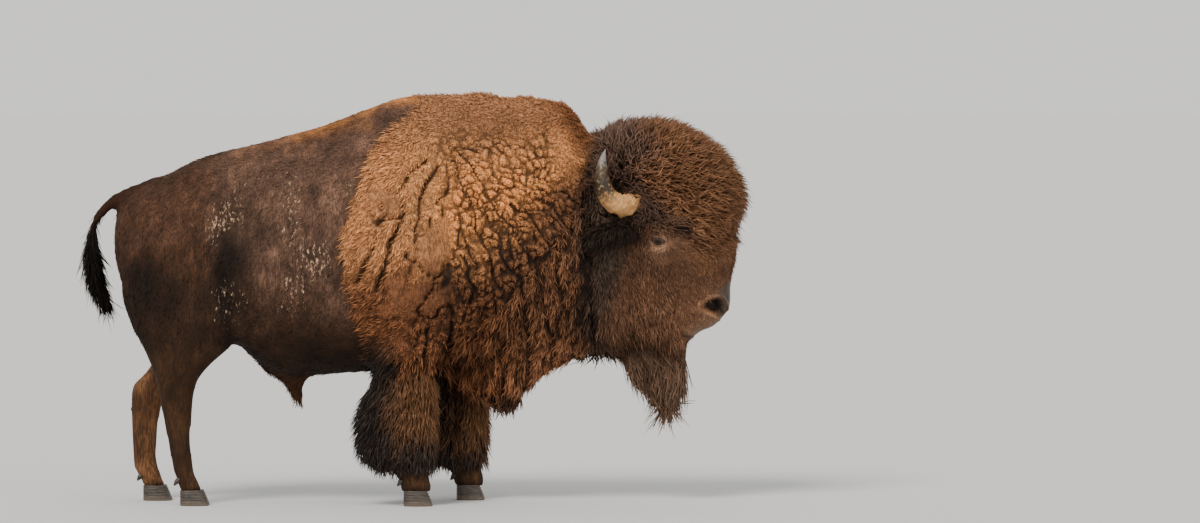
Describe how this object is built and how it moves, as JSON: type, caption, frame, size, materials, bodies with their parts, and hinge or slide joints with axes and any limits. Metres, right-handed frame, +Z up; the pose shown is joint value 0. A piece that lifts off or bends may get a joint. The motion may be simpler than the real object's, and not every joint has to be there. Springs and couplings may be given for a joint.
{
  "type": "american bison",
  "caption": "Life-size still model of a standing American bison bull with woolly cape, bearded low head and short curved horns.",
  "frame": {"origin": "floor level under the middle of the animal's box", "axes": "+X towards the head, +Y towards the animal's left side, +Z up"},
  "size_m": [2.883, 0.7996, 1.8026],
  "materials": {
    "cape_wool": "thick curly cinnamon wool in plates, matt",
    "short_coat": "short dark brown hair lying flat, with a slight sheen",
    "dark_coat": "long shaggy brown-black hair, matt",
    "horn": "rough tan horn at the base, olive brown to blue grey at the tip",
    "hoof": "dull black-brown hoof horn",
    "eye": "wet dark brown eye"
  },
  "bodies": {
    "root": {"neck": "cape_wool", "forequarters": "cape_wool", "barrel": "short_coat", "hindquarters": "short_coat", "hindleg_left_upper": "short_coat", "hindleg_left_lower": "short_coat", "hindleg_right_upper": "short_coat", "hindleg_right_lower": "short_coat", "head": "dark_coat", "beard": "dark_coat", "tail_dock": "dark_coat", "tail_tuft": "dark_coat", "sheath": "dark_coat", "ear_left": "dark_coat", "ear_right": "dark_coat", "foreleg_left_upper": "dark_coat", "foreleg_left_lower": "dark_coat", "foreleg_right_upper": "dark_coat", "foreleg_right_lower": "dark_coat", "horn_left": "horn", "horn_right": "horn", "hoof_fore_left_outer": "hoof", "hoof_fore_left_inner": "hoof", "hoof_fore_right_outer": "hoof", "hoof_fore_right_inner": "hoof", "hoof_hind_left_outer": "hoof", "hoof_hind_left_inner": "hoof", "hoof_hind_right_outer": "hoof", "hoof_hind_right_inner": "hoof", "dewclaw_fore_left_outer": "hoof", "dewclaw_fore_left_inner": "hoof", "dewclaw_fore_right_outer": "hoof", "dewclaw_fore_right_inner": "hoof", "dewclaw_hind_left_outer": "hoof", "dewclaw_hind_left_inner": "hoof", "dewclaw_hind_right_outer": "hoof", "dewclaw_hind_right_inner": "hoof", "eye_left": "eye", "eye_right": "eye"}
  },
  "joints": []
}
